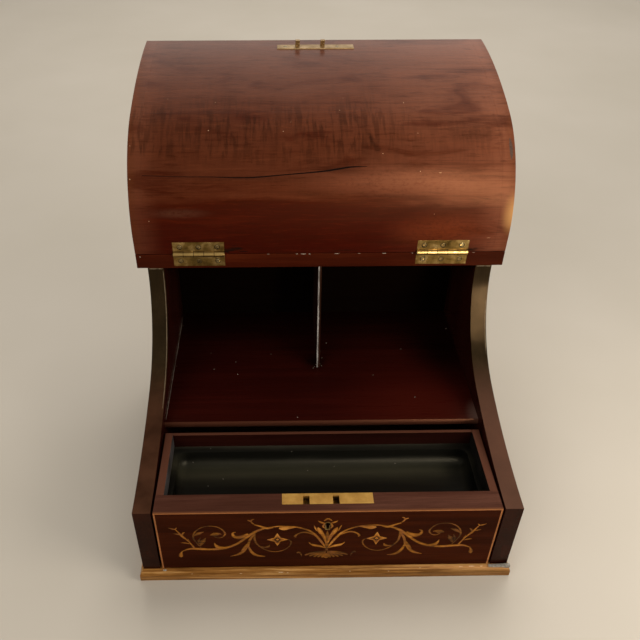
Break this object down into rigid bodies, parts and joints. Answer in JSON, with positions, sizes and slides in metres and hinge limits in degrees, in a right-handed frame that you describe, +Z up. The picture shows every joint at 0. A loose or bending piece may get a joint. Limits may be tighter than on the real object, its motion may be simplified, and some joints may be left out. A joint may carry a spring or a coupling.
{
  "type": "bonheur du jour stationery cabinet",
  "caption": "Mahogany stationery cabinet of a small writing desk: a coved hinged lid over twin pigeonholes, locking down onto a pen drawer with an inlaid front.",
  "frame": {"origin": "centre of the underside of the base board", "axes": "+X to the right seen from the front, +Y to the back, +Z up; the lid stands open and the drawer is shut at rest"},
  "size_m": [0.318, 0.361, 0.3342],
  "materials": {
    "mahogany": "polished",
    "figured_veneer": "polished",
    "cleat_wood": "polished",
    "partition_wood": "waxed",
    "base_wood": "polished",
    "drawer_wood": "waxed",
    "front_veneer": "polished marquetry",
    "boxwood": "polished",
    "brass": "satin",
    "brass_screws": "satin",
    "steel": "satin",
    "tray_leather": "matt"
  },
  "bodies": {
    "carcass": {"base_board": "base_wood", "base_screws": "steel", "left_side": "mahogany", "right_side": "mahogany", "back_panel": "mahogany", "pigeonhole_floor": "mahogany", "partition": "partition_wood", "drawer_stop": "mahogany", "top_board": "mahogany", "carcass_hinge_screws": "brass_screws", "left_hinge_carcass_leaf": "brass", "right_hinge_carcass_leaf": "brass", "left_hinge_pin": "brass", "right_hinge_pin": "brass"},
    "lid": {"lid_core": "mahogany", "lid_inner_veneer": "figured_veneer", "lid_outer_veneer": "figured_veneer", "lid_left_cleat": "cleat_wood", "lid_right_cleat": "cleat_wood", "left_hinge_lid_leaf": "brass", "right_hinge_lid_leaf": "brass", "lid_hinge_screws": "brass_screws", "link_plate": "brass", "link_plate_screws": "brass_screws"},
    "drawer": {"drawer_front": "mahogany", "drawer_front_veneer": "front_veneer", "drawer_stringing": "boxwood", "keyhole_escutcheon": "brass", "drawer_left_wall": "drawer_wood", "drawer_right_wall": "drawer_wood", "drawer_back": "drawer_wood", "drawer_bottom": "drawer_wood", "left_tray_ledge": "drawer_wood", "right_tray_ledge": "drawer_wood", "pen_tray": "drawer_wood", "tray_lining": "tray_leather", "lock_plate": "brass", "lock_case": "brass", "lock_cap": "brass", "lock_post": "steel", "lock_screws": "brass_screws"},
    "lock_bolt": {"lock_bolt": "brass"}
  },
  "joints": [
    {"name": "lid_hinge", "type": "hinge", "parent": "carcass", "child": "lid", "pos_m": [0, 0.0508, 0.20285], "axis": [1, 0, 0], "range_deg": [0, 178]},
    {"name": "drawer_slide", "type": "slide", "parent": "carcass", "child": "drawer", "axis": [0, -1, 0], "range_m": [0, 0.05]},
    {"name": "bolt_slide", "type": "slide", "parent": "drawer", "child": "lock_bolt", "axis": [1, 0, 0], "range_m": [0, 0.005]}
  ]
}
